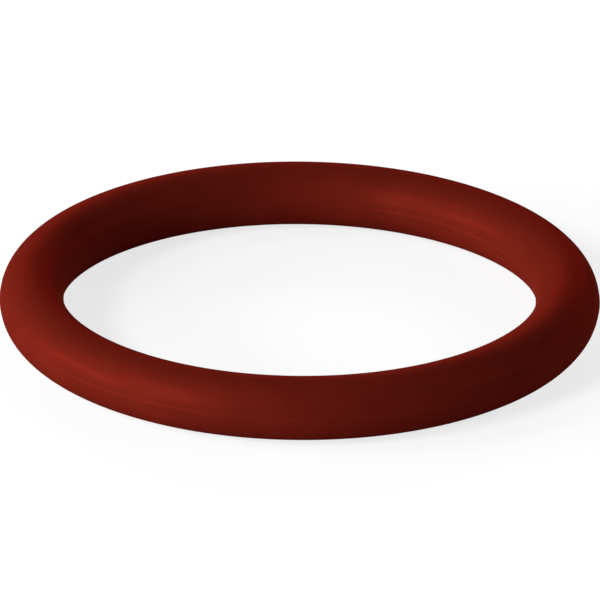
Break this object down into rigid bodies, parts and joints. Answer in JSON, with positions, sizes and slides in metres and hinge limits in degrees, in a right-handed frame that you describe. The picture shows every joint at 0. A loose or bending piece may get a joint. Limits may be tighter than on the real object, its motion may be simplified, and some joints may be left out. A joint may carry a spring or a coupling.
{
  "type": "press fitting o-ring",
  "caption": "Dark red elastomer sealing ring with a round section and a fine parting line, for the groove of a press fitting on a 22 mm tube.",
  "frame": {"origin": "centre of the ring, on its axis and halfway up its section, in the plane of the parting line", "axes": "+Z along the ring's axis, which is the axis of the tube it seals; the ring is the same all round, so X and Y are any two directions in its plane"},
  "size_m": [0.0284, 0.0284, 0.003],
  "materials": {
    "elastomer": "satin dark red moulded elastomer"
  },
  "bodies": {
    "root": {"o_ring": "elastomer"}
  },
  "joints": []
}
